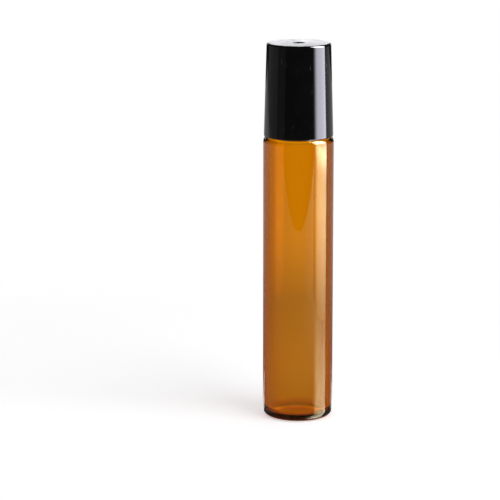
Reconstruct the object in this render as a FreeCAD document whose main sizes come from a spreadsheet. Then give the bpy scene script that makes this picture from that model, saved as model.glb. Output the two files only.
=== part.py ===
import FreeCAD, Part
import math
import os
import Sketcher

# A 10 ml roll-on bottle: a drawn glass tube with a threaded neck, a moulded housing plugged into
# that neck, a steel ball held in the housing, and a screw cap with a sealing disc in its roof.
# Frame: millimetres, +Z up, the bottle's axis on Z and the table at zero height.

# Driving dimensions, written once
SIZES = {
    # glass bottle
    "tube_diameter": 17.0,
    "tube_wall": 1.0,
    "tube_height": 67.65,
    "base_thickness": 1.4,
    "heel_radius": 1.6,
    "inner_heel_radius": 1.3,
    "foot_width": 1.1,
    "push_up_rise": 0.6,
    "shoulder_share": 0.62,
    "shoulder_wall": 0.7,
    "inner_shoulder_share": 0.3,
    "finish_height": 14.35,
    "neck_bore": 9.4,
    "neck_wall": 1.05,
    "bore_round": 0.6,
    "thread_land_rise": 0.2,
    "thread_land_height": 5.6,
    "lip_round": 0.35,
    # ball housing
    "flange_thickness": 0.7,
    "flange_overhang": 0.22,
    "housing_wall": 0.6,
    "rim_opening": 7.32,
    "plug_length": 6.4,
    "plug_fit": 0.05,
    "plug_chamfer": 0.5,
    "channel_diameter": 6.0,
    "rib_start": 1.3,
    "rib_pitch": 1.6,
    "rib_width": 0.6,
    "rib_height": 0.25,
    "rib_count": 3,
    "feed_slot_width": 0.8,
    "feed_slot_depth": 0.6,
    "feed_slot_count": 4,
    # roller ball
    "ball_diameter": 9.2,
    "ball_play": 0.08,
    "ball_lift_share": 0.474,
    # screw cap
    "cap_inset": 0.15,
    "cap_top_inset": 0.63,
    "cap_roof": 1.1,
    "cap_top_round": 0.45,
    "rim_wall": 0.35,
    "thread_wall": 1.0,
    "rim_round": 0.2,
    "rim_clearance": 0.15,
    "mouth_lead": 1.3,
    "thread_rise": 0.7,
    "thread_clearance": 0.2,
    "collar_clearance": 0.6,
    "bead_width": 0.5,
    "bead_height": 0.22,
    "dimple_diameter": 2.8,
    "dimple_depth": 0.6,
    # cap liner
    "liner_thickness": 0.7,
    "liner_fit": 0.1,
    "liner_slack": 0.05,
    "ball_gap": 0.12,
}

# Places and sizes that follow from the driving dimensions
DERIVED = {
    # glass bottle: foot, push-up and tube
    "tube_radius": "tube_diameter / 2",
    "tube_bore_radius": "tube_radius - tube_wall",
    "foot_outer_radius": "tube_radius - heel_radius",
    "foot_inner_radius": "foot_outer_radius - foot_width",
    "push_up_radius": "(foot_inner_radius ^ 2 + push_up_rise ^ 2) / (2 * push_up_rise)",
    "floor_crown": "base_thickness + push_up_rise",
    "floor_edge_radius": "tube_bore_radius - inner_heel_radius",
    "floor_dome_radius": "(floor_edge_radius ^ 2 + push_up_rise ^ 2) / (2 * push_up_rise)",
    "inner_heel_top": "base_thickness + inner_heel_radius",
    # glass bottle: shoulder, neck and lip
    "bore_radius": "neck_bore / 2",
    "neck_radius": "bore_radius + neck_wall",
    "land_radius": "neck_radius + thread_land_rise",
    "shoulder_radius": "shoulder_share * (tube_radius - neck_radius)",
    "shoulder_edge_radius": "tube_radius - shoulder_radius",
    "shoulder_crest": "tube_height + shoulder_radius",
    "neck_sweep_radius": "shoulder_edge_radius - neck_radius",
    "neck_start": "shoulder_crest + neck_sweep_radius",
    "lip_height": "tube_height + finish_height",
    "land_start": "lip_height - thread_land_height",
    "neck_end": "land_start - thread_land_rise",
    "lip_round_start": "lip_height - lip_round",
    "lip_outer_radius": "land_radius - lip_round",
    "lip_inner_radius": "bore_radius + lip_round",
    "inner_crest": "shoulder_crest - shoulder_wall",
    "inner_shoulder_radius": "inner_shoulder_share * shoulder_radius",
    "inner_shoulder_edge": "tube_bore_radius - inner_shoulder_radius",
    "inner_shoulder_start": "inner_crest - inner_shoulder_radius",
    "bore_start": "inner_crest + bore_round",
    "bore_flare_radius": "bore_radius + bore_round",
    # ball housing, concentric with the ball, whose socket leaves the plug a wall at the lip
    "ball_radius": "ball_diameter / 2",
    "socket_radius": "ball_radius + ball_play",
    "collar_radius": "socket_radius + housing_wall",
    "flange_radius": "collar_radius + flange_overhang",
    "flange_top": "lip_height + flange_thickness",
    "rib_radius": "bore_radius - plug_fit",
    "plug_radius": "rib_radius - rib_height",
    "socket_at_lip": "plug_radius - housing_wall",
    "least_ball_rise": "sqrt(max(0; socket_radius ^ 2 - socket_at_lip ^ 2))",
    "ball_rise": "flange_thickness + ball_lift_share * ball_radius",
    "ball_height": "lip_height + max(ball_rise; least_ball_rise)",
    "rim_radius": "rim_opening / 2",
    "rim_rise": "sqrt(socket_radius ^ 2 - rim_radius ^ 2)",
    "rim_height": "ball_height + rim_rise",
    "rim_outer_radius": "sqrt(collar_radius ^ 2 - rim_rise ^ 2)",
    "channel_radius": "channel_diameter / 2",
    "seat_height": "ball_height - sqrt(socket_radius ^ 2 - channel_radius ^ 2)",
    "plug_bottom": "lip_height - plug_length",
    "plug_tip_radius": "plug_radius - plug_chamfer",
    "plug_chamfer_top": "plug_bottom + plug_chamfer",
    "rib_root_radius": "(plug_radius + channel_radius) / 2",
    "rib_top": "lip_height - rib_start",
    "rib_bottom": "rib_top - rib_width",
    "rib_crown_radius": "(rib_width ^ 2 / 4 + rib_height ^ 2) / (2 * rib_height)",
    "rib_run": "rib_pitch * (rib_count - 1)",
    "feed_slot_reach": "channel_radius + feed_slot_depth",
    "feed_slot_length": "ball_height - plug_bottom",
    # cap liner, just above the ball
    "ball_top": "ball_height + ball_radius",
    "liner_bottom": "ball_top + ball_gap",
    "liner_top": "liner_bottom + liner_thickness",
    "collar_bore_radius": "flange_radius + collar_clearance",
    "liner_radius": "collar_bore_radius - liner_fit",
    # screw cap, its rim a hair above the shoulder, its roof on the liner and a wall round its thread
    "thread_bore_radius": "land_radius + thread_rise + thread_clearance",
    "cap_rim_radius": "max(tube_radius - cap_inset; thread_bore_radius + thread_wall)",
    "cap_top_radius": "cap_rim_radius - cap_top_inset",
    "mouth_radius": "cap_rim_radius - rim_wall",
    "rim_reach": "mouth_radius - shoulder_edge_radius",
    "rim_swing": "shoulder_radius + rim_clearance",
    "cap_floor": "tube_height + sqrt(max(0; rim_swing ^ 2 - rim_reach ^ 2))",
    "rim_round_radius": "cap_rim_radius - rim_round",
    "rim_round_top": "cap_floor + rim_round",
    "cap_ceiling": "liner_top + liner_slack",
    "cap_top": "cap_ceiling + cap_roof",
    "cap_top_round_radius": "cap_top_radius - cap_top_round",
    "cap_top_round_start": "cap_top - cap_top_round",
    "dimple_radius": "dimple_diameter / 2",
    "dimple_floor": "cap_top - dimple_depth",
    "bead_top": "liner_bottom - liner_slack",
    "bead_bottom": "bead_top - bead_width",
    "bead_crown_radius": "(bead_width ^ 2 / 4 + bead_height ^ 2) / (2 * bead_height)",
    "bore_step_bottom": "flange_top",
    "bore_step_top": "bore_step_bottom + abs(thread_bore_radius - collar_bore_radius)",
    "lead_top": "cap_floor + mouth_lead",
}

doc = FreeCAD.newDocument("roll_on_bottle")
sheet = doc.addObject("Spreadsheet::Sheet", "sizes")


def fill_sheet():
    """Name every size in the sheet: numbers first, then what follows from them."""
    texts = {name: str(value) for name, value in SIZES.items()}
    texts.update({name: "=" + formula for name, formula in DERIVED.items()})
    for row, (name, text) in enumerate(texts.items(), start=1):
        sheet.set("A%d" % row, name)
        sheet.set("B%d" % row, text)
        sheet.setAlias("B%d" % row, name)
    doc.recompute()


def size(name):
    """The present value of a named size, or zero."""
    return float(getattr(sheet, name)) if name else 0.0


def origin_feature(body, role):
    return next(item for item in body.Origin.OriginFeatures if item.Role == role)


def new_sketch(body, name, plane):
    sketch = body.newObject("Sketcher::SketchObject", name)
    sketch.AttachmentSupport = [(origin_feature(body, plane), "")]
    sketch.MapMode = "FlatFace"
    return sketch


def arc_between(start, end, radius, side):
    """The short arc of a radius between two points, its centre to the left (1) or right (-1)."""
    chord = end - start
    rise = math.sqrt(max(radius ** 2 - (chord.Length / 2) ** 2, 0))
    across = FreeCAD.Vector(-chord.y, chord.x, 0).normalize()
    centre = start + chord / 2 + across * rise * side
    first, last = (start, end) if side > 0 else (end, start)
    first_angle = math.atan2(first.y - centre.y, first.x - centre.x)
    last_angle = math.atan2(last.y - centre.y, last.x - centre.x)
    if last_angle <= first_angle:
        last_angle += 2 * math.pi
    circle = Part.Circle(centre, FreeCAD.Vector(0, 0, 1), radius)
    return Part.ArcOfCircle(circle, first_angle, last_angle)


def bind(sketch, kind, where, name):
    """Constrain a sketch to a named size of the sheet."""
    index = sketch.addConstraint(Sketcher.Constraint(kind, *where, size(name)))
    sketch.setExpression("Constraints[%d]" % index, "sizes." + name)


def draw_outline(sketch, corners):
    """A closed outline of (radius, height, bend) corners; the bend rounds the run that follows.

    Radius and height are named sizes, or None on the axis or on the table.
    A bend is None for a straight run, or the arc's named radius and the side of its centre.
    """
    points = [FreeCAD.Vector(size(radius), size(height), 0) for radius, height, bend in corners]
    ends = []
    for number, (radius, height, bend) in enumerate(corners):
        start = points[number]
        end = points[(number + 1) % len(points)]
        if bend is None:
            run = sketch.addGeometry(Part.LineSegment(start, end))
            ends.append((run, 1, 2))
        else:
            bend_name, side = bend
            run = sketch.addGeometry(arc_between(start, end, size(bend_name), side))
            ends.append((run, 1, 2) if side > 0 else (run, 2, 1))
    for number, (radius, height, bend) in enumerate(corners):
        run, first, last = ends[number]
        before, before_first, before_last = ends[number - 1]
        sketch.addConstraint(Sketcher.Constraint("Coincident", before, before_last, run, first))
        if radius:
            bind(sketch, "DistanceX", (-1, 1, run, first), radius)
        else:
            sketch.addConstraint(Sketcher.Constraint("PointOnObject", run, first, -2))
        if height:
            bind(sketch, "DistanceY", (-1, 1, run, first), height)
        else:
            sketch.addConstraint(Sketcher.Constraint("PointOnObject", run, first, -1))
        if bend is not None:
            bind(sketch, "Radius", (run,), bend[0])


def turned(body, name, corners):
    """Turn an outline once round the bottle's axis."""
    sketch = new_sketch(body, name + "_outline", "XZ_Plane")
    draw_outline(sketch, corners)
    solid = body.newObject("PartDesign::Revolution", name)
    solid.Profile = sketch
    solid.ReferenceAxis = (sketch, ["V_Axis"])
    solid.Angle = 360
    sketch.Visibility = False
    doc.recompute()
    return solid


def new_body(label):
    body = doc.addObject("PartDesign::Body", label)
    body.Label = label
    return body


def make_glass_bottle():
    """One wall of glass from the push-up under the base to the lip."""
    body = new_body("glass_bottle")
    turned(body, "glass_wall", [
        (None, "push_up_rise", ("push_up_radius", -1)),
        ("foot_inner_radius", None, None),
        ("foot_outer_radius", None, ("heel_radius", 1)),
        ("tube_radius", "heel_radius", None),
        ("tube_radius", "tube_height", ("shoulder_radius", 1)),
        ("shoulder_edge_radius", "shoulder_crest", ("neck_sweep_radius", -1)),
        ("neck_radius", "neck_start", None),
        ("neck_radius", "neck_end", None),
        ("land_radius", "land_start", None),
        ("land_radius", "lip_round_start", ("lip_round", 1)),
        ("lip_outer_radius", "lip_height", None),
        ("lip_inner_radius", "lip_height", ("lip_round", 1)),
        ("bore_radius", "lip_round_start", None),
        ("bore_radius", "bore_start", ("bore_round", 1)),
        ("bore_flare_radius", "inner_crest", None),
        ("inner_shoulder_edge", "inner_crest", ("inner_shoulder_radius", -1)),
        ("tube_bore_radius", "inner_shoulder_start", None),
        ("tube_bore_radius", "inner_heel_top", ("inner_heel_radius", -1)),
        ("floor_edge_radius", "base_thickness", ("floor_dome_radius", 1)),
        (None, "floor_crown", None),
    ])
    return body


def make_ball_housing():
    """Flange, snap collar round the ball, ribbed plug in the neck, and slots that feed the ball."""
    body = new_body("ball_housing")
    shell = turned(body, "housing_shell", [
        ("channel_radius", "plug_bottom", None),
        ("plug_tip_radius", "plug_bottom", None),
        ("plug_radius", "plug_chamfer_top", None),
        ("plug_radius", "lip_height", None),
        ("flange_radius", "lip_height", None),
        ("flange_radius", "flange_top", None),
        ("collar_radius", "flange_top", None),
        ("collar_radius", "ball_height", ("collar_radius", 1)),
        ("rim_outer_radius", "rim_height", None),
        ("rim_radius", "rim_height", ("socket_radius", -1)),
        ("socket_radius", "ball_height", ("socket_radius", -1)),
        ("channel_radius", "seat_height", None),
    ])
    plain_volume = shell.Shape.Volume

    rib = turned(body, "seal_rib", [
        ("rib_root_radius", "rib_bottom", None),
        ("plug_radius", "rib_bottom", ("rib_crown_radius", 1)),
        ("plug_radius", "rib_top", None),
        ("rib_root_radius", "rib_top", None),
    ])
    ribs = body.newObject("PartDesign::LinearPattern", "seal_ribs")
    ribs.Originals = [rib]
    ribs.Direction = (rib.Profile[0], ["V_Axis"])
    ribs.Reversed = True
    ribs.setExpression("Length", "sizes.rib_run")
    ribs.setExpression("Occurrences", "sizes.rib_count")
    body.Tip = ribs
    doc.recompute()
    ribbed_volume = body.Shape.Volume
    if ribbed_volume <= plain_volume:
        raise RuntimeError("the seal ribs add nothing to the plug")

    outline = new_sketch(body, "feed_slot_outline", "XY_Plane")
    outline.setExpression("AttachmentOffset.Base.z", "sizes.plug_bottom")
    draw_slot(outline)
    slot = body.newObject("PartDesign::Pocket", "feed_slot")
    slot.Profile = outline
    slot.Reversed = True
    slot.setExpression("Length", "sizes.feed_slot_length")
    outline.Visibility = False
    doc.recompute()
    slots = body.newObject("PartDesign::PolarPattern", "feed_slots")
    slots.Originals = [slot]
    slots.Axis = (origin_feature(body, "Z_Axis"), [""])
    slots.Angle = 360
    slots.setExpression("Occurrences", "sizes.feed_slot_count")
    body.Tip = slots
    doc.recompute()
    if body.Shape.Volume >= ribbed_volume:
        raise RuntimeError("the feed slots cut nothing from the channel")
    return body


def draw_slot(sketch):
    """A slot from the axis out into the channel's wall, square to X."""
    reach = size("feed_slot_reach")
    half = size("feed_slot_width") / 2
    corners = [(0, -half), (reach, -half), (reach, half), (0, half)]
    points = [FreeCAD.Vector(x, y, 0) for x, y in corners]
    runs = []
    for number, point in enumerate(points):
        following = points[(number + 1) % len(points)]
        runs.append(sketch.addGeometry(Part.LineSegment(point, following)))
    for number, run in enumerate(runs):
        sketch.addConstraint(Sketcher.Constraint("Coincident", runs[number - 1], 2, run, 1))
    low, outer, high, inner = runs
    for run in (low, high):
        sketch.addConstraint(Sketcher.Constraint("Horizontal", run))
    sketch.addConstraint(Sketcher.Constraint("PointOnObject", low, 1, -2))
    sketch.addConstraint(Sketcher.Constraint("PointOnObject", inner, 1, -2))
    sketch.addConstraint(Sketcher.Constraint("Symmetric", low, 2, high, 1, -1))
    bind(sketch, "DistanceY", (outer, 1, outer, 2), "feed_slot_width")
    bind(sketch, "DistanceX", (-1, 1, outer, 1), "feed_slot_reach")


def make_roller_ball():
    ball = doc.addObject("Part::Sphere", "roller_ball")
    ball.Label = "roller_ball"
    ball.setExpression("Radius", "sizes.ball_radius")
    ball.setExpression("Placement.Base.z", "sizes.ball_height")
    return ball


def make_screw_cap():
    """A drafted shell: lead-in over the shoulder, thread bore, collar bore and liner pocket."""
    body = new_body("screw_cap")
    turned(body, "cap_shell", [
        ("mouth_radius", "cap_floor", None),
        ("rim_round_radius", "cap_floor", ("rim_round", 1)),
        ("cap_rim_radius", "rim_round_top", None),
        ("cap_top_radius", "cap_top_round_start", ("cap_top_round", 1)),
        ("cap_top_round_radius", "cap_top", None),
        ("dimple_radius", "cap_top", None),
        ("dimple_radius", "dimple_floor", None),
        (None, "dimple_floor", None),
        (None, "cap_ceiling", None),
        ("collar_bore_radius", "cap_ceiling", None),
        ("collar_bore_radius", "bead_top", ("bead_crown_radius", 1)),
        ("collar_bore_radius", "bead_bottom", None),
        ("collar_bore_radius", "bore_step_top", None),
        ("thread_bore_radius", "bore_step_bottom", None),
        ("thread_bore_radius", "lead_top", None),
    ])
    return body


def make_cap_liner():
    """The soft disc behind the bead of the cap, which bears on the ball."""
    liner = doc.addObject("Part::Cylinder", "cap_liner")
    liner.Label = "cap_liner"
    liner.setExpression("Radius", "sizes.liner_radius")
    liner.setExpression("Height", "sizes.liner_thickness")
    liner.setExpression("Placement.Base.z", "sizes.liner_bottom")
    return liner


def check_document(pieces):
    """Stop if any object failed or any piece has no sound solid."""
    for item in doc.Objects:
        if "Invalid" in item.State or "Error" in item.State:
            raise RuntimeError("%s failed: %s" % (item.Name, item.State))
    for piece in pieces:
        if piece.Shape.isNull() or not piece.Shape.isValid() or len(piece.Shape.Solids) != 1:
            raise RuntimeError("%s has no sound solid" % piece.Label)


fill_sheet()
pieces = [
    make_glass_bottle(),
    make_ball_housing(),
    make_roller_ball(),
    make_screw_cap(),
    make_cap_liner(),
]
doc.recompute()
check_document(pieces)
os.makedirs("parts", exist_ok=True)
for piece in pieces:
    piece.Shape.exportStep("parts/%s.step" % piece.Label)
    box = piece.Shape.BoundBox
    print("%-14s volume %9.2f mm3, height %.2f to %.2f mm" % (
        piece.Label, piece.Shape.Volume, box.ZMin, box.ZMax))
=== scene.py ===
"""Looks of a 10 ml roll-on bottle: amber glass tube, black screw cap, ball, housing and disc.

Outlines are in millimetres from the bottle's axis and the table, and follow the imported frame.
"""

import math

import bmesh
import bpy
from mathutils import Matrix, Vector


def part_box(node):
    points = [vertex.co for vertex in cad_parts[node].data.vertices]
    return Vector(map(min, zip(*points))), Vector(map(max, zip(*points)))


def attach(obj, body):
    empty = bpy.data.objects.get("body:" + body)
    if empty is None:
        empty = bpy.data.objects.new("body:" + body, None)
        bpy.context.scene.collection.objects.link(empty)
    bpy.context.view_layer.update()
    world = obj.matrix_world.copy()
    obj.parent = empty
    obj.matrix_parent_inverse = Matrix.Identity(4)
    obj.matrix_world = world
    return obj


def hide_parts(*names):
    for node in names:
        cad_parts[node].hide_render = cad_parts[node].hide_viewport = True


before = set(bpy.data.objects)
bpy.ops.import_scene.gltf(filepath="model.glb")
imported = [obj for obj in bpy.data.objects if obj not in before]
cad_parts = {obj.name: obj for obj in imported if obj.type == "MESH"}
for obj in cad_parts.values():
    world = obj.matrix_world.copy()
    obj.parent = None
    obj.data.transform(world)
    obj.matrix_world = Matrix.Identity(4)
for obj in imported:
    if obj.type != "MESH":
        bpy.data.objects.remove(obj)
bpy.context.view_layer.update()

MM = 0.001

# Heights and radii that the frame gives, in millimetres
glass_low, glass_high = (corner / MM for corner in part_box("glass_bottle"))
housing_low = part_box("ball_housing")[0] / MM
ball_low, ball_high = (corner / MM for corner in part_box("roller_ball"))
cap_low, cap_high = (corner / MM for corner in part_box("screw_cap"))
liner_low, liner_high = (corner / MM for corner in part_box("cap_liner"))
TUBE_RADIUS = -glass_low.x
LIP_HEIGHT = glass_high.z
CAP_RADIUS = -cap_low.x
BALL_RADIUS = (ball_high.z - ball_low.z) / 2
BALL_HEIGHT = (ball_high.z + ball_low.z) / 2
LINER_RADIUS = -liner_low.x

# Glass bottle
WALL = 1.0
TUBE_TO_LIP = 14.35
TUBE_HEIGHT = LIP_HEIGHT - TUBE_TO_LIP
FOOT_RADIUS = 5.8
HEEL = 1.6
PUSH_UP = 0.6
BASE = 1.4
INNER_HEEL = 1.3
NECK_RADIUS = 5.75
SHOULDER = 1.705
SHOULDER_CREST = TUBE_HEIGHT + SHOULDER
INNER_CORNER = 0.51
SHOULDER_WALL = 0.7
NECK_SWEEP = TUBE_RADIUS - SHOULDER - NECK_RADIUS
NECK_BORE = 4.7
BORE_FLARE = 0.6
LAND_RISE = 0.2
LAND_RADIUS = NECK_RADIUS + LAND_RISE
LAND_LENGTH = 5.6
LAND_START = LIP_HEIGHT - LAND_LENGTH
LIP_ROUND = 0.35

# Thread, right-handed, on the glass and half a pitch lower in the cap
THREAD_LEAD = 2.5
THREAD_TURNS = 1.65
THREAD_RISE = 0.68
THREAD_HALF_WIDTH = 0.66
THREAD_CROWN = 1.4
THREAD_FADE_TURNS = 0.17
THREAD_INSET = 0.6
GLASS_THREAD_START = LAND_START + THREAD_INSET
CAP_THREAD_START = GLASS_THREAD_START - THREAD_LEAD / 2
THREAD_LOOPS = 60

# Ball housing
HOUSING_WALL = 0.6
BALL_PLAY = 0.08
SOCKET_RADIUS = BALL_RADIUS + BALL_PLAY
COLLAR_RADIUS = SOCKET_RADIUS + HOUSING_WALL
FLANGE_RADIUS = -housing_low.x
FLANGE_THICKNESS = 0.7
PLUG_RADIUS = 4.4
PLUG_CHAMFER = 0.5
CHANNEL_RADIUS = 3.0
CHANNEL_CHAMFER = 0.1
RIM_RADIUS = 3.66
RIM_EASE_DEGREES = 1.5
RIBS = 3
RIB_PITCH = 1.6
RIB_DROP = 1.3
RIB_TOPS = [LIP_HEIGHT - RIB_DROP - RIB_PITCH * count for count in range(RIBS)]
RIB_WIDTH = 0.6
RIB_RISE = 0.25
RIB_MARGIN = 0.2
FEED_SLOTS = 4
FEED_SLOT_HALF_WIDTH = 0.4
FEED_SLOT_RADIUS = 3.6

# Screw cap
CAP_TAPER = 0.63
CAP_TOP_ROUND = 0.45
CAP_ROOF = 1.1
RIM_WALL = 0.35
RIM_ROUND = 0.2
MOUTH_LEAD = 1.3
THREAD_ROOM = 0.9
THREAD_BORE = LAND_RADIUS + THREAD_ROOM
LINER_PLAY = 0.1
COLLAR_BORE = LINER_RADIUS + LINER_PLAY
COLLAR_STEP = LIP_HEIGHT + FLANGE_THICKNESS
BEAD_WIDTH = 0.5
BEAD_RISE = 0.22
BEAD_PLAY = 0.05
BEAD_MARGIN = 0.1
GATE_RADIUS = 1.4
GATE_DEPTH = 0.6
GATE_NUB_RADIUS = 0.32
GATE_NUB_RISE = 0.25

# Mesh fineness
TURN_STEPS = 192
ARC_STEP = math.radians(9)
EDGE_LOOP = 0.04
MERGE = 0.0005

# Board, in metres from the bottle's foot; pairs are where a change of brightness starts and ends
BOARD_LEFT, BOARD_RIGHT = -0.5, 0.9
BOARD_FRONT, BOARD_BACK = -0.245, 0.6
BOARD_DROP = 0.02 * MM
BOARD_WHITE = "#F2F2F2"
# Painted shade: the grey that gloss sees the board in
BOARD_PAINTED_SHADE_GREY = "#8A8A8A"
BOARD_LIFT = 0.47
# Painted light added to the board seen through the glass, stronger at the foot where the bottle's
# shadow falls
BOARD_PAINTED_GLASS_LIGHT = 0.31
BOARD_PAINTED_FOOT_LIGHT = 0.5
BOARD_FOOT_REACH = (0.05, 0.125)
# Painted light at the board's rear, seen in gloss
BOARD_PAINTED_REAR_LIGHT = 0.3
BOARD_REAR_REACH = (0.03, 0.2)
BOARD_FRONT_REACH = (-0.05, 0.0)
# Painted shade: the share of brightness left to the sides, through the glass
BOARD_PAINTED_SIDE_SHADE = 0.58
BOARD_LANE = (0.08, 0.4)
BOARD_GLASS_REACH = (0.13, 0.22)
BOARD_SHEEN = 0.8
BOARD_SHEEN_ROUGHNESS = 0.05
# Painted pool of softbox light on the board in front of the softbox, seen in gloss
BOARD_PAINTED_SPILL = 1.1
BOARD_PAINTED_SPILL_LANE = (0.2, 1.2)
BOARD_PAINTED_SPILL_REACH = (-0.12, -0.02)
SHADOW_CENTRE = (-0.05, 0, 0)
SHADOW_REACH = (0.1, 0.15)

# Softbox, in metres from the bottle's foot; its brightness changes between the pairs of heights
SOFTBOX_SIDE = 0.11
SOFTBOX_FRONT, SOFTBOX_BACK = -0.092, 0.0185
SOFTBOX_FOOT, SOFTBOX_TOP = 0.0, 0.3
SOFTBOX_SOFT_EDGE = 0.045
SOFTBOX_EDGE_SHARE = 0.03
SOFTBOX_THROUGH_SHARE = 0.55
SOFTBOX_FOOT_RADIANCE = 2.6
SOFTBOX_RADIANCE = 7.4
SOFTBOX_SHOULDER_RADIANCE = 19.0
SOFTBOX_CAP_RADIANCE = 11.7
SOFTBOX_TOP_RADIANCE = 45.0
FOOT_HEIGHTS = (0.0, 0.03)
SHOULDER_HEIGHTS = (0.042, 0.0475)
CAP_HEIGHTS = (0.0485, 0.0505)
TOP_HEIGHTS = (0.085, 0.105)
WHITE_LAMP = "#FFFFFF"
LILAC_LAMP = "#F3EFFF"

# Panels: place and size in metres, brightness, and whether one shows in gloss and glass alone
PANELS = {
    "rear_panel": ((0, 0.45, 0.1365), (0.6, 0.024), 2.35, True),
    "left_panel": ((-0.4, 0.1, 0.02), (0.435, 0.3), 0.18, True),
    "front_panel": ((-0.4, -0.224, 0.02), (0.21, 0.3), 0.08, True),
    "key": ((0.38, -0.3, 0.55), (0.5, 0.5), 2.6, False),
}
COOL_LAMP = "#FBFBFF"
ROOM_CENTRE = (0, 0, 0.07)
ROOM_FILL = 0.4
ROOM_GLOSS = 0.02

# Camera, fitted to the bottle's outline in the photograph
CAMERA_PLACE = (-11.66 * MM, -588.79 * MM, 163.26 * MM)
CAMERA_TILT = 0.2048
CAMERA_LENS = 178.5
CAMERA_SENSOR = 36
CAMERA_CLIP = (0.01, 10)


def rounded(corners):
    """Outline points from (radius, height, rounding) corners, each rounding drawn as an arc.

    A loop close to each end of a straight run keeps smooth shading flat along it.
    """
    points = [Vector((radius, height)) for radius, height, rounding in corners]
    outline = [points[0]]
    for number in range(1, len(points) - 1):
        point, rounding = points[number], corners[number][2]
        back = (points[number - 1] - point).normalized()
        ahead = (points[number + 1] - point).normalized()
        opening = back.angle(ahead)
        reach = rounding / math.tan(opening / 2)
        start = point + back * reach
        end = point + ahead * reach
        outline.append(start + back * EDGE_LOOP)
        if rounding:
            centre = point + (back + ahead).normalized() * (rounding / math.sin(opening / 2))
            first = start - centre
            sweep = first.angle_signed(end - centre)
            steps = max(2, math.ceil(abs(sweep) / ARC_STEP))
            for step in range(steps + 1):
                outline.append(centre + Matrix.Rotation(-sweep * step / steps, 2) @ first)
        else:
            outline.append(point)
        outline.append(end + ahead * EDGE_LOOP)
    outline.append(points[-1])
    return outline


def arc(centre, radius, start, end):
    """Points on a circle round a (radius, height) centre, from one angle to another, in degrees."""
    steps = max(2, math.ceil(abs(math.radians(end - start)) / ARC_STEP))
    angles = [math.radians(start + (end - start) * step / steps) for step in range(steps + 1)]
    return [Vector(centre) + radius * Vector((math.cos(a), math.sin(a))) for a in angles]


def crown(width, rise):
    """Radius and half angle, in degrees, of the arc that stands a rise above a width."""
    radius = (width ** 2 / 4 + rise ** 2) / (2 * rise)
    return radius, math.degrees(math.asin(width / 2 / radius))


def turned(outline, closed=False, fine_run=None):
    """Spin an outline once round the axis.

    A fine run, given by its radius and its low and high ends, gets loops for a thread.
    """
    shape = bmesh.new()
    verts = [shape.verts.new((max(point.x, 0) * MM, 0, point.y * MM)) for point in outline]
    pairs = list(zip(verts, verts[1:])) + ([(verts[-1], verts[0])] if closed else [])
    edges = [shape.edges.new(pair) for pair in pairs]
    if fine_run:
        radius, low, high = (size * MM for size in fine_run)
        run = [
            edge for edge in edges
            if all(abs(v.co.x - radius) < MERGE * MM and low <= v.co.z <= high for v in edge.verts)
        ]
        bmesh.ops.subdivide_edges(shape, edges=run, cuts=THREAD_LOOPS)
    bmesh.ops.spin(
        shape, geom=shape.verts[:] + shape.edges[:], cent=(0, 0, 0), axis=(0, 0, 1),
        angle=2 * math.pi, steps=TURN_STEPS, use_merge=True,
    )
    bmesh.ops.remove_doubles(shape, verts=shape.verts, dist=MERGE * MM)
    bmesh.ops.recalc_face_normals(shape, faces=shape.faces)
    return shape


def smooth_step(share):
    share = min(max(share, 0), 1)
    return share * share * (3 - 2 * share)


def raise_thread(shape, wall_radius, low, high, start, side):
    """Draw the wall's vertices out (side 1) or in (-1) along a helix into one rounded ridge."""
    for vert in shape.verts:
        radius = vert.co.xy.length / MM
        height = vert.co.z / MM
        if abs(radius - wall_radius) > EDGE_LOOP / 2 or not low < height < high:
            continue
        turn = math.atan2(vert.co.y, vert.co.x) / (2 * math.pi) % 1
        count = round((height - start) / THREAD_LEAD - turn)
        along = turn + count
        off = (height - start - along * THREAD_LEAD) / THREAD_HALF_WIDTH
        if abs(off) >= 1:
            continue
        ends = smooth_step(along / THREAD_FADE_TURNS)
        ends *= smooth_step((THREAD_TURNS - along) / THREAD_FADE_TURNS)
        rise = THREAD_RISE * ends * math.cos(off * math.pi / 2) ** THREAD_CROWN
        vert.co.xy *= (radius + side * rise) / radius


def cut_feed_slots(shape):
    """Push the channel's wall and the seat's edge out where the feed slots run."""
    spacing = 2 * math.pi / FEED_SLOTS
    for vert in shape.verts:
        radius = vert.co.xy.length / MM
        height = vert.co.z / MM
        if radius > FEED_SLOT_RADIUS or height > BALL_HEIGHT:
            continue
        angle = (math.atan2(vert.co.y, vert.co.x) + spacing / 2) % spacing - spacing / 2
        if abs(math.sin(angle)) * radius < FEED_SLOT_HALF_WIDTH:
            vert.co.xy *= FEED_SLOT_RADIUS / radius


def add_piece(name, shape, body, node, finish):
    """Make the shape a smooth piece that rides on a body and stands for a node."""
    mesh = bpy.data.meshes.new(name)
    bmesh.ops.recalc_face_normals(shape, faces=shape.faces)
    shape.to_mesh(mesh)
    shape.free()
    mesh.shade_smooth()
    mesh.materials.append(finish)
    piece = bpy.data.objects.new(name, mesh)
    bpy.context.scene.collection.objects.link(piece)
    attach(piece, body)
    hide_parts(node)


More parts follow.
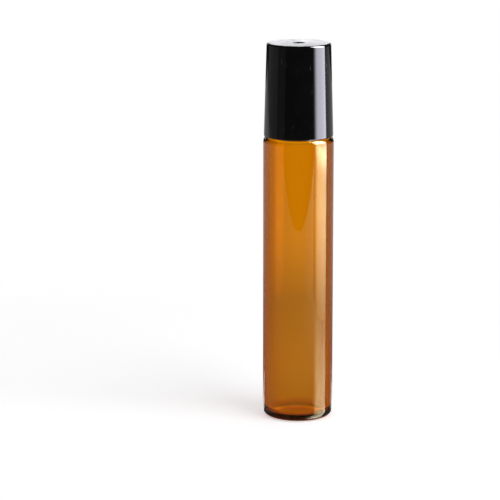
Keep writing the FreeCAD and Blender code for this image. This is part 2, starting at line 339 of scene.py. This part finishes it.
def make_amber_bottle(finish):
    """One wall of glass from the push-up to the lip, the thread drawn out of the neck's land."""
    bore = TUBE_RADIUS - WALL
    push_up_radius, push_up_angle = crown(2 * FOOT_RADIUS, PUSH_UP)
    floor_edge = bore - INNER_HEEL
    floor_radius, floor_angle = crown(2 * floor_edge, PUSH_UP)
    inner_crest = SHOULDER_CREST - SHOULDER_WALL
    outline = arc((0, PUSH_UP - push_up_radius), push_up_radius, 90, 90 - push_up_angle)
    outline += rounded([
        (FOOT_RADIUS + EDGE_LOOP, 0, 0),
        (TUBE_RADIUS, 0, HEEL),
        (TUBE_RADIUS, SHOULDER_CREST, SHOULDER),
        (NECK_RADIUS, SHOULDER_CREST, NECK_SWEEP - EDGE_LOOP),
        (NECK_RADIUS, LAND_START - LAND_RISE, 0.15),
        (LAND_RADIUS, LAND_START, 0.1),
        (LAND_RADIUS, LIP_HEIGHT, LIP_ROUND),
        (NECK_BORE, LIP_HEIGHT, LIP_ROUND),
        (NECK_BORE, inner_crest, BORE_FLARE),
        (bore, inner_crest, INNER_CORNER),
        (bore, BASE, INNER_HEEL),
        (floor_edge, BASE, 0),
    ])
    outline += arc((0, BASE + PUSH_UP - floor_radius), floor_radius, 90 - floor_angle, 90)[1:]
    thread_run = (LAND_RADIUS, LAND_START, LIP_HEIGHT - LIP_ROUND)
    shape = turned(outline, fine_run=thread_run)
    raise_thread(shape, *thread_run, GLASS_THREAD_START, 1)
    add_piece("amber_bottle", shape, "bottle", "glass_bottle", finish)


def make_ball_housing(finish):
    """Moulded housing: ribbed plug, flange on the lip, snap collar and seat round the ball."""
    rim_rise = math.sqrt(SOCKET_RADIUS ** 2 - RIM_RADIUS ** 2)
    rim_angle = math.degrees(math.atan2(rim_rise, RIM_RADIUS))
    outer_rim_angle = math.degrees(math.asin(rim_rise / COLLAR_RADIUS))
    seat_drop = math.sqrt(SOCKET_RADIUS ** 2 - CHANNEL_RADIUS ** 2)
    seat_angle = -math.degrees(math.atan2(seat_drop, CHANNEL_RADIUS))
    plug_bottom = housing_low.z
    rib_radius, rib_angle = crown(RIB_WIDTH, RIB_RISE)
    outline = [
        Vector((CHANNEL_RADIUS, plug_bottom + CHANNEL_CHAMFER)),
        Vector((CHANNEL_RADIUS + CHANNEL_CHAMFER, plug_bottom)),
        Vector((PLUG_RADIUS - PLUG_CHAMFER, plug_bottom)),
        Vector((PLUG_RADIUS, plug_bottom + PLUG_CHAMFER)),
    ]
    for top in reversed(RIB_TOPS):
        centre = (PLUG_RADIUS + RIB_RISE - rib_radius, top - RIB_WIDTH / 2)
        outline += arc(centre, rib_radius, -rib_angle, rib_angle)
    outline += rounded([
        (PLUG_RADIUS, RIB_TOPS[0] + RIB_MARGIN, 0),
        (PLUG_RADIUS, LIP_HEIGHT, 0.05),
        (FLANGE_RADIUS, LIP_HEIGHT, 0.1),
        (FLANGE_RADIUS, COLLAR_STEP, 0.2),
        (COLLAR_RADIUS, COLLAR_STEP, 0.1),
        (COLLAR_RADIUS, BALL_HEIGHT - EDGE_LOOP, 0),
    ])
    middle = (0, BALL_HEIGHT)
    outline += arc(middle, COLLAR_RADIUS, 0, outer_rim_angle - RIM_EASE_DEGREES)
    outline += arc(middle, SOCKET_RADIUS, rim_angle - RIM_EASE_DEGREES, seat_angle)
    shape = turned(outline, closed=True)
    cut_feed_slots(shape)
    add_piece("ball_socket", shape, "bottle", "ball_housing", finish)


def make_roller_ball(finish):
    outline = arc((0, BALL_HEIGHT), BALL_RADIUS, -90, 90)
    add_piece("steel_ball", turned(outline), "ball", "roller_ball", finish)


def make_screw_cap(finish):
    """Tapered shell with a rounded rim, gate dimple, internal thread and a bead under the disc."""
    mouth = CAP_RADIUS - RIM_WALL
    top_radius = CAP_RADIUS - CAP_TAPER
    ceiling = cap_high.z - CAP_ROOF
    bead_top = liner_low.z - BEAD_PLAY
    gate_floor = cap_high.z - GATE_DEPTH
    bead_radius, bead_angle = crown(BEAD_WIDTH, BEAD_RISE)
    bead_centre = (COLLAR_BORE - BEAD_RISE + bead_radius, bead_top - BEAD_WIDTH / 2)
    outline = rounded([
        (0, gate_floor + GATE_NUB_RISE, 0),
        (GATE_NUB_RADIUS, gate_floor + GATE_NUB_RISE, 0.12),
        (GATE_NUB_RADIUS, gate_floor, 0.1),
        (GATE_RADIUS, gate_floor, 0.12),
        (GATE_RADIUS, cap_high.z, 0.08),
        (top_radius, cap_high.z, CAP_TOP_ROUND),
        (CAP_RADIUS, cap_low.z, RIM_ROUND),
        (mouth, cap_low.z, 0.02),
        (THREAD_BORE, cap_low.z + MOUTH_LEAD, 0.1),
        (THREAD_BORE, COLLAR_STEP, 0.1),
        (COLLAR_BORE, COLLAR_STEP + THREAD_BORE - COLLAR_BORE, 0.1),
        (COLLAR_BORE, bead_top - BEAD_WIDTH - BEAD_MARGIN, 0),
    ])
    outline += arc(bead_centre, bead_radius, 180 + bead_angle, 180 - bead_angle)
    outline += rounded([
        (COLLAR_BORE, bead_top + BEAD_MARGIN, 0),
        (COLLAR_BORE, ceiling, 0.15),
        (0, ceiling, 0),
    ])
    thread_run = (THREAD_BORE, cap_low.z + MOUTH_LEAD, COLLAR_STEP)
    shape = turned(outline, fine_run=thread_run)
    raise_thread(shape, *thread_run, CAP_THREAD_START, -1)
    add_piece("black_cap", shape, "cap", "screw_cap", finish)


def make_cap_liner(finish):
    """Foam disc, cut from sheet, with softly crushed edges."""
    outline = rounded([
        (0, liner_low.z, 0),
        (LINER_RADIUS, liner_low.z, 0.2),
        (LINER_RADIUS, liner_high.z, 0.15),
        (0, liner_high.z, 0),
    ])
    add_piece("foam_disc", turned(outline), "liner", "cap_liner", finish)


def linear(hex_colour):
    """The linear colour of an sRGB hex value."""
    channels = [int(hex_colour[start:start + 2], 16) / 255 for start in (1, 3, 5)]
    return [c / 12.92 if c <= 0.04045 else ((c + 0.055) / 1.055) ** 2.4 for c in channels] + [1]


def add_node(tree, kind, inputs=None, **settings):
    """Add a node with its own settings; an input is a value, or another node's output to link.

    Sockets without a name of their own go by number. In a MapRange 0 is the value, 1 and 2 are the
    range that it comes from, 3 and 4 the range that it goes to. In a Mix 0 is the share, 2 and 3
    are the plain values and 6 and 7 the colours.
    """
    node = tree.nodes.new("ShaderNode" + kind)
    for name, value in settings.items():
        setattr(node, name, value)
    for socket, value in (inputs or {}).items():
        if isinstance(value, bpy.types.NodeSocket):
            tree.links.new(value, node.inputs[socket])
        else:
            node.inputs[socket].default_value = value
    return node


def new_finish(name):
    finish = bpy.data.materials.new(name)
    finish.use_nodes = True
    finish.node_tree.nodes.clear()
    return finish, finish.node_tree


def per(millimetres):
    """A pattern's scale for one repeat in that many millimetres."""
    return 1 / (millimetres * MM)


def amber_glass():
    """Amber soda-lime glass, drawn as tube: clear deep orange, faint draw lines along it."""
    finish, tree = new_finish("amber_drawn_glass")
    place = add_node(tree, "TexCoord").outputs["Object"]
    # Draw lines lie about 1.6 mm apart and run nearly the tube's whole length
    along = add_node(tree, "Mapping", {"Vector": place, "Scale": (per(1.6), per(1.6), per(70))})
    lines = add_node(tree, "TexNoise", {"Vector": along.outputs[0], "Scale": 1.0, "Detail": 2.0})
    # A film from handling dulls patches of about 9 mm a little
    film = add_node(tree, "TexNoise", {"Vector": place, "Scale": per(9), "Detail": 4.0})
    haze = add_node(tree, "MapRange", {0: film.outputs["Fac"], 1: 0.45, 2: 0.75, 3: 0.0, 4: 0.03})
    # Seeds, the small bubbles in the glass, lie about 5 mm apart and are drawn 0.5 mm across
    grid = add_node(tree, "TexVoronoi", {"Vector": place, "Scale": per(5)})
    seeds = add_node(tree, "MapRange", {
        0: grid.outputs["Distance"], 1: 0.0, 2: 0.05, 3: 5.0, 4: 0.0,
    })
    height = add_node(tree, "Math", {0: seeds.outputs[0], 1: lines.outputs["Fac"]}, operation="ADD")
    relief = add_node(tree, "Bump", {
        "Height": height.outputs[0], "Strength": 0.25, "Distance": 0.02 * MM,
    })
    # The warm tint of the reflection gives the amber highlights
    shader = add_node(tree, "BsdfPrincipled", {
        "Base Color": linear("#FFFDF8"), "Transmission Weight": 1.0, "IOR": 1.52,
        "Specular Tint": linear("#FFF9B0"),
        "Roughness": haze.outputs[0], "Normal": relief.outputs[0],
    })
    # Absorbs most of the blue and some of the green in each millimetre, so thick glass is browner
    depth = add_node(tree, "VolumeAbsorption", {"Color": (0.932, 0.779, 0.0, 1), "Density": 3600.0})
    add_node(tree, "OutputMaterial", {"Surface": shader.outputs[0], "Volume": depth.outputs[0]})
    return finish


def black_plastic():
    """Black polypropylene, moulded in a polished tool: deep gloss, fine handling scuffs, dust."""
    finish, tree = new_finish("black_moulded_polypropylene")
    place = add_node(tree, "TexCoord").outputs["Object"]
    wear = add_node(tree, "TexNoise", {"Vector": place, "Scale": per(4), "Detail": 6.0})
    # Scuffs lie in the most worn places; they are hair-fine and drawn about 0.15 mm wide to show
    slant = add_node(tree, "Mapping", {
        "Vector": place, "Rotation": (0.5, 0.35, 0), "Scale": (per(0.5), per(0.5), per(2.5)),
    })
    strokes = add_node(tree, "TexNoise", {"Vector": slant.outputs[0], "Scale": 1.0, "Detail": 3.0})
    patches = add_node(tree, "MapRange", {0: wear.outputs["Fac"], 1: 0.52, 2: 0.62})
    streaks = add_node(tree, "MapRange", {0: strokes.outputs["Fac"], 1: 0.62, 2: 0.7})
    scuffs = add_node(tree, "Math", {
        0: patches.outputs[0], 1: streaks.outputs[0],
    }, operation="MULTIPLY")
    # Dust lies about 3 mm apart, in specks of about 0.3 mm, and only some places hold one
    grid = add_node(tree, "TexVoronoi", {"Vector": place, "Scale": per(3)})
    size = add_node(tree, "MapRange", {
        0: grid.outputs["Distance"], 1: 0.04, 2: 0.07, 3: 1.0, 4: 0.0,
    })
    held = add_node(tree, "Math", {0: grid.outputs["Color"], 1: 0.6}, operation="GREATER_THAN")
    dust = add_node(tree, "Math", {0: size.outputs[0], 1: held.outputs[0]}, operation="MULTIPLY")
    marks = add_node(tree, "Math", {0: scuffs.outputs[0], 1: dust.outputs[0]}, operation="MAXIMUM")
    # Worn places are a little less polished, and scuffs and dust are dull
    polish = add_node(tree, "MapRange", {0: wear.outputs["Fac"], 1: 0.3, 2: 0.8, 3: 0.06, 4: 0.11})
    gloss = add_node(tree, "Math", {
        0: marks.outputs[0], 1: 0.25, 2: polish.outputs[0],
    }, operation="MULTIPLY_ADD")
    height = add_node(tree, "Math", {
        0: dust.outputs[0], 1: 1.5, 2: wear.outputs["Fac"],
    }, operation="MULTIPLY_ADD")
    relief = add_node(tree, "Bump", {
        "Height": height.outputs[0], "Strength": 0.15, "Distance": 0.03 * MM,
    })
    mottle = add_node(tree, "Mix", {
        0: wear.outputs["Fac"], 6: linear("#0A0A0A"), 7: linear("#111112"),
    }, data_type="RGBA")
    colour = add_node(tree, "Mix", {
        0: marks.outputs[0], 6: mottle.outputs[2], 7: linear("#202023"),
    }, data_type="RGBA")
    shader = add_node(tree, "BsdfPrincipled", {
        "Base Color": colour.outputs[2], "Roughness": gloss.outputs[0], "IOR": 1.49,
        "Normal": relief.outputs[0],
    })
    add_node(tree, "OutputMaterial", {"Surface": shader.outputs[0]})
    return finish


def white_plastic():
    """White polyethylene, moulded: waxy, slightly translucent, with a soft satin sheen."""
    finish, tree = new_finish("white_moulded_polyethylene")
    place = add_node(tree, "TexCoord").outputs["Object"]
    # The mould's grain is finer than this, and is drawn at 0.5 mm so that it shows
    grain = add_node(tree, "TexNoise", {"Vector": place, "Scale": per(0.5), "Detail": 4.0})
    satin = add_node(tree, "MapRange", {0: grain.outputs["Fac"], 1: 0.3, 2: 0.7, 3: 0.3, 4: 0.42})
    relief = add_node(tree, "Bump", {
        "Height": grain.outputs["Fac"], "Strength": 0.15, "Distance": 0.02 * MM,
    })
    colour = add_node(tree, "Mix", {
        0: grain.outputs["Fac"], 6: linear("#EDEDEB"), 7: linear("#F4F4F3"),
    }, data_type="RGBA")
    shader = add_node(tree, "BsdfPrincipled", {
        "Base Color": colour.outputs[2], "Roughness": satin.outputs[0], "IOR": 1.51,
        "Subsurface Weight": 0.25, "Subsurface Radius": (1, 0.95, 0.9),
        "Subsurface Scale": 0.8 * MM, "Normal": relief.outputs[0],
    })
    add_node(tree, "OutputMaterial", {"Surface": shader.outputs[0]})
    return finish


def polished_steel():
    """Stainless steel, ground and polished: a mirror with hair-fine lapping marks."""
    finish, tree = new_finish("polished_stainless_steel")
    place = add_node(tree, "TexCoord").outputs["Object"]
    # Lapping marks are finer than this, and are drawn at 0.6 mm so that they show
    marks = add_node(tree, "TexNoise", {"Vector": place, "Scale": per(0.6), "Detail": 8.0})
    mirror = add_node(tree, "MapRange", {0: marks.outputs["Fac"], 1: 0.35, 2: 0.7, 3: 0.1, 4: 0.22})
    shader = add_node(tree, "BsdfPrincipled", {
        "Base Color": linear("#C8C8CA"), "Metallic": 1.0, "Roughness": mirror.outputs[0],
    })
    add_node(tree, "OutputMaterial", {"Surface": shader.outputs[0]})
    return finish


def white_foam():
    """White polyethylene foam, skived sheet: matt, with small cut cells."""
    finish, tree = new_finish("white_polyethylene_foam")
    place = add_node(tree, "TexCoord").outputs["Object"]
    # Cells are about 0.35 mm across, and darker towards their edges
    cells = add_node(tree, "TexVoronoi", {"Vector": place, "Scale": per(0.35)})
    relief = add_node(tree, "Bump", {
        "Height": cells.outputs["Distance"], "Strength": 0.5, "Distance": 0.05 * MM,
    })
    colour = add_node(tree, "Mix", {
        0: cells.outputs["Distance"], 6: linear("#F1F0EB"), 7: linear("#DCDAD3"),
    }, data_type="RGBA")
    shader = add_node(tree, "BsdfPrincipled", {
        "Base Color": colour.outputs[2], "Roughness": 0.8, "IOR": 1.5, "Normal": relief.outputs[0],
    })
    add_node(tree, "OutputMaterial", {"Surface": shader.outputs[0]})
    return finish


def white_board():
    """White board: the lens sees it as bright as the background, with the shadow kept.

    In the bottle's own gloss it has the sheen of lacquer, which carries the softbox down the glass.
    """
    finish, tree = new_finish("matt_white_board")
    place = add_node(tree, "TexCoord").outputs["Object"]
    axes = add_node(tree, "SeparateXYZ", {0: place})
    path = add_node(tree, "LightPath")
    camera_ray = path.outputs["Is Camera Ray"]
    glossy_ray = path.outputs["Is Glossy Ray"]
    glass_ray = path.outputs["Is Transmission Ray"]
    seen = add_node(tree, "Math", {0: camera_ray, 1: glass_ray}, operation="ADD", use_clamp=True)
    # Rays through the glass count as glossy too, so they are taken off
    bounced = add_node(tree, "Math", {
        0: glossy_ray, 1: glass_ray,
    }, operation="SUBTRACT", use_clamp=True)

    # How far the board is plain white: beyond the shadow for the lens, farther off for the glass
    shifted = add_node(tree, "VectorMath", {0: place, 1: SHADOW_CENTRE}, operation="DISTANCE")
    distance = add_node(tree, "VectorMath", {0: place}, operation="LENGTH")
    open_board = add_node(tree, "MapRange", {
        0: shifted.outputs["Value"], 1: SHADOW_REACH[0], 2: SHADOW_REACH[1],
    })
    glass_board = add_node(tree, "MapRange", {
        0: distance.outputs["Value"], 1: BOARD_GLASS_REACH[0], 2: BOARD_GLASS_REACH[1],
    })
    far = add_node(tree, "Mix", {
        0: camera_ray, 2: glass_board.outputs[0], 3: open_board.outputs[0],
    }, data_type="FLOAT")
    beyond = add_node(tree, "Math", {0: far.outputs[0], 1: seen.outputs[0]}, operation="MULTIPLY")

    # The near board glows: for the lens an even lift to white, through the glass painted light,
    # strongest near the foot where the bottle's shadow falls, and painted light at the rear for
    # gloss
    painted_glass_light = add_node(tree, "MapRange", {
        0: distance.outputs["Value"], 1: BOARD_FOOT_REACH[0], 2: BOARD_FOOT_REACH[1],
        3: BOARD_PAINTED_FOOT_LIGHT, 4: BOARD_PAINTED_GLASS_LIGHT,
    })
    lift = add_node(tree, "Mix", {
        0: camera_ray, 2: painted_glass_light.outputs[0], 3: BOARD_LIFT,
    }, data_type="FLOAT")
    shown = add_node(tree, "Math", {0: lift.outputs[0], 1: seen.outputs[0]}, operation="MULTIPLY")
    # Painted light: the board's rear glows brighter where gloss sees it
    rear = add_node(tree, "MapRange", {
        0: axes.outputs["Y"], 1: BOARD_REAR_REACH[0], 2: BOARD_REAR_REACH[1],
        3: 0.0, 4: BOARD_PAINTED_REAR_LIGHT,
    })
    shine = add_node(tree, "Math", {
        0: rear.outputs[0], 1: glossy_ray, 2: shown.outputs[0],
    }, operation="MULTIPLY_ADD")

    # Painted light: in front of the softbox the board glows brighter, a painted pool of the
    # softbox's light, which shows beside the strip in the glass
    across = add_node(tree, "Math", {0: axes.outputs["X"]}, operation="ABSOLUTE")
    ahead = add_node(tree, "Math", {0: axes.outputs["Y"]}, operation="ABSOLUTE")
    right = add_node(tree, "Math", {0: axes.outputs["X"], 1: ahead.outputs[0]}, operation="DIVIDE")
    beside = add_node(tree, "MapRange", {
        0: right.outputs[0], 1: BOARD_PAINTED_SPILL_LANE[0], 2: BOARD_PAINTED_SPILL_LANE[1], 3: 0.0, 4: BOARD_PAINTED_SPILL,
    })
    forward = add_node(tree, "MapRange", {
        0: axes.outputs["Y"], 1: BOARD_PAINTED_SPILL_REACH[0], 2: BOARD_PAINTED_SPILL_REACH[1], 3: 1.0, 4: 0.0,
    })
    painted_spill = add_node(tree, "Math", {
        0: beside.outputs[0], 1: forward.outputs[0],
    }, operation="MULTIPLY")
    shone = add_node(tree, "Math", {
        0: painted_spill.outputs[0], 1: bounced.outputs[0], 2: shine.outputs[0],
    }, operation="MULTIPLY_ADD")

    # Painted shade: gloss sees the board a painted grey, but white in front of the bottle
    painted_shade_tone = add_node(tree, "Mix", {
        0: glossy_ray, 6: linear(BOARD_WHITE), 7: linear(BOARD_PAINTED_SHADE_GREY),
    }, data_type="RGBA")
    front = add_node(tree, "MapRange", {
        0: axes.outputs["Y"], 1: BOARD_FRONT_REACH[0], 2: BOARD_FRONT_REACH[1], 3: 1.0, 4: 0.0,
    })
    mirrored = add_node(tree, "Math", {
        0: bounced.outputs[0], 1: front.outputs[0],
    }, operation="MULTIPLY")
    colour = add_node(tree, "Mix", {
        0: mirrored.outputs[0], 6: painted_shade_tone.outputs[2], 7: linear(BOARD_WHITE),
    }, data_type="RGBA")
    matt = add_node(tree, "BsdfDiffuse", {"Color": colour.outputs[2]})
    # The glow carries the even lift to white and the painted light near the foot, at the rear and
    # in front of the softbox
    glow = add_node(tree, "Emission", {"Color": (1, 1, 1, 1), "Strength": shone.outputs[0]})
    lit = add_node(tree, "AddShader", {0: matt.outputs[0], 1: glow.outputs[0]})
    sheen = add_node(tree, "Math", {0: bounced.outputs[0], 1: BOARD_SHEEN}, operation="MULTIPLY")
    mirror = add_node(tree, "BsdfGlossy", {
        "Color": sheen.outputs[0], "Roughness": BOARD_SHEEN_ROUGHNESS,
    })
    near = add_node(tree, "AddShader", {0: lit.outputs[0], 1: mirror.outputs[0]})

    # Painted shade: through the glass the far board glows dimmer to the sides of the strip of board
    # behind the bottle
    aside = add_node(tree, "Math", {0: across.outputs[0], 1: ahead.outputs[0]}, operation="DIVIDE")
    painted_side_shade = add_node(tree, "MapRange", {
        0: aside.outputs[0], 1: BOARD_LANE[0], 2: BOARD_LANE[1], 3: 1.0, 4: BOARD_PAINTED_SIDE_SHADE,
    })
    bright = add_node(tree, "Mix", {0: camera_ray, 2: painted_side_shade.outputs[0], 3: 1.0}, data_type="FLOAT")
    white = add_node(tree, "Emission", {"Color": (1, 1, 1, 1), "Strength": bright.outputs[0]})
    shader = add_node(tree, "MixShader", {
        0: beyond.outputs[0], 1: near.outputs[0], 2: white.outputs[0],
    })
    add_node(tree, "OutputMaterial", {"Surface": shader.outputs[0]})
    return finish


def softbox_cloth():
    """Diffuser cloth: dim below, bright beside the shoulder, lilac above, brightest at the top."""
    finish, tree = new_finish("lit_diffuser_cloth")
    place = add_node(tree, "TexCoord").outputs["Object"]
    axes = add_node(tree, "SeparateXYZ", {0: place})
    height = axes.outputs["Z"]
    lower = add_node(tree, "MapRange", {
        0: height, 1: FOOT_HEIGHTS[0], 2: FOOT_HEIGHTS[1],
        3: SOFTBOX_FOOT_RADIANCE, 4: SOFTBOX_RADIANCE,
    })
    changes = [
        add_node(tree, "MapRange", {0: height, 1: low, 2: high, 3: 0.0, 4: after - before})
        for (low, high), before, after in (
            (SHOULDER_HEIGHTS, SOFTBOX_RADIANCE, SOFTBOX_SHOULDER_RADIANCE),
            (CAP_HEIGHTS, SOFTBOX_SHOULDER_RADIANCE, SOFTBOX_CAP_RADIANCE),
            (TOP_HEIGHTS, SOFTBOX_CAP_RADIANCE, SOFTBOX_TOP_RADIANCE),
        )
    ]
    upper = changes[0]
    for change in changes[1:]:
        upper = add_node(tree, "Math", {0: upper.outputs[0], 1: change.outputs[0]}, operation="ADD")
    cool = add_node(tree, "MapRange", {0: height, 1: SHOULDER_HEIGHTS[0], 2: CAP_HEIGHTS[1]})
    tint = add_node(tree, "Mix", {
        0: cool.outputs[0], 6: linear(WHITE_LAMP), 7: linear(LILAC_LAMP),
    }, data_type="RGBA")
    edge = add_node(tree, "MapRange", {
        0: axes.outputs["Y"], 1: SOFTBOX_FRONT, 2: SOFTBOX_FRONT + SOFTBOX_SOFT_EDGE,
        3: SOFTBOX_EDGE_SHARE, 4: 1.0,
    }, interpolation_type="SMOOTHSTEP")
    # Straight through the glass the cloth shows at about half strength, with no brighter part
    through = add_node(tree, "LightPath").outputs["Is Transmission Ray"]
    share = add_node(tree, "MapRange", {0: through, 3: 1.0, 4: SOFTBOX_THROUGH_SHARE})
    reflected = add_node(tree, "MapRange", {0: through, 3: 1.0, 4: 0.0})
    head = add_node(tree, "Math", {
        0: upper.outputs[0], 1: reflected.outputs[0],
    }, operation="MULTIPLY")
    full = add_node(tree, "Math", {
        0: lower.outputs[0], 1: share.outputs[0], 2: head.outputs[0],
    }, operation="MULTIPLY_ADD")
    strength = add_node(tree, "Math", {
        0: full.outputs[0], 1: edge.outputs[0],
    }, operation="MULTIPLY")
    glow = add_node(tree, "Emission", {"Color": tint.outputs[2], "Strength": strength.outputs[0]})
    add_node(tree, "OutputMaterial", {"Surface": glow.outputs[0]})
    return finish


def make_sheet(name, size, turn, middle, finish):
    """A flat sheet of the studio, turned about the axis that runs from front to rear."""
    shape = bmesh.new()
    bmesh.ops.create_grid(shape, x_segments=1, y_segments=1, size=0.5)
    bmesh.ops.scale(shape, vec=(*size, 1), verts=shape.verts)
    bmesh.ops.rotate(
        shape, cent=(0, 0, 0), matrix=Matrix.Rotation(turn, 3, "Y"), verts=shape.verts,
    )
    bmesh.ops.translate(shape, vec=middle, verts=shape.verts)
    mesh = bpy.data.meshes.new(name)
    shape.to_mesh(mesh)
    shape.free()
    mesh.materials.append(finish)
    sheet = bpy.data.objects.new(name, mesh)
    bpy.context.scene.collection.objects.link(sheet)
    return sheet


def make_board():
    size = (BOARD_RIGHT - BOARD_LEFT, BOARD_BACK - BOARD_FRONT)
    middle = ((BOARD_RIGHT + BOARD_LEFT) / 2, (BOARD_BACK + BOARD_FRONT) / 2, -BOARD_DROP)
    make_sheet("board", size, 0, middle, white_board())


def make_softbox():
    """Upright softbox on the right, which shows in gloss and glass and lights nothing else."""
    size = (SOFTBOX_TOP - SOFTBOX_FOOT, SOFTBOX_BACK - SOFTBOX_FRONT)
    middle = (
        SOFTBOX_SIDE, (SOFTBOX_BACK + SOFTBOX_FRONT) / 2, (SOFTBOX_TOP + SOFTBOX_FOOT) / 2,
    )
    softbox = make_sheet("softbox", size, math.pi / 2, middle, softbox_cloth())
    softbox.visible_camera = False
    softbox.visible_diffuse = False
    softbox.visible_shadow = False


def make_panel(name, place, size, radiance, gloss_only):
    """A soft panel of a set brightness that faces the bottle, out of the camera's view.

    One for gloss only shows in shiny surfaces and glass, and the others light without showing.
    """
    lamp = bpy.data.lights.new(name, "AREA")
    lamp.shape = "RECTANGLE"
    lamp.size, lamp.size_y = size
    lamp.energy = radiance * math.pi * size[0] * size[1]
    lamp.color = linear(COOL_LAMP)[:3]
    panel = bpy.data.objects.new(name, lamp)
    panel.location = place
    facing = Vector(ROOM_CENTRE) - Vector(place)
    panel.rotation_euler = facing.to_track_quat("-Z", "Y").to_euler()
    panel.visible_camera = False
    panel.visible_diffuse = not gloss_only
    panel.visible_glossy = gloss_only
    bpy.context.scene.collection.objects.link(panel)


def light_room():
    """White behind the bottle, as the lens and glass see it, and a dim room for gloss and fill."""
    world = bpy.data.worlds.new("room")
    bpy.context.scene.world = world
    world.use_nodes = True
    tree = world.node_tree
    tree.nodes.clear()
    path = add_node(tree, "LightPath")
    seen = add_node(tree, "Math", {
        0: path.outputs["Is Camera Ray"], 1: path.outputs["Is Transmission Ray"],
    }, operation="ADD", use_clamp=True)
    fill = add_node(tree, "MapRange", {
        0: path.outputs["Is Glossy Ray"], 3: ROOM_FILL, 4: ROOM_GLOSS,
    })
    strength = add_node(tree, "Mix", {
        0: seen.outputs[0], 2: fill.outputs[0], 3: 1.0,
    }, data_type="FLOAT")
    background = add_node(tree, "Background", {
        "Color": (1, 1, 1, 1), "Strength": strength.outputs[0],
    })
    add_node(tree, "OutputWorld", {"Surface": background.outputs[0]})
    for name, panel in PANELS.items():
        make_panel(name, *panel)


def make_camera():
    lens = bpy.data.cameras.new("camera")
    lens.lens = CAMERA_LENS
    lens.sensor_width = CAMERA_SENSOR
    lens.clip_start, lens.clip_end = CAMERA_CLIP
    camera = bpy.data.objects.new("camera", lens)
    camera.location = CAMERA_PLACE
    camera.rotation_euler = (math.pi / 2 - CAMERA_TILT, 0, 0)
    bpy.context.scene.collection.objects.link(camera)
    bpy.context.scene.camera = camera


make_amber_bottle(amber_glass())
make_ball_housing(white_plastic())
make_roller_ball(polished_steel())
make_screw_cap(black_plastic())
make_cap_liner(white_foam())
make_board()
make_softbox()
light_room()
make_camera()
bpy.context.scene.view_settings.view_transform = "Standard"
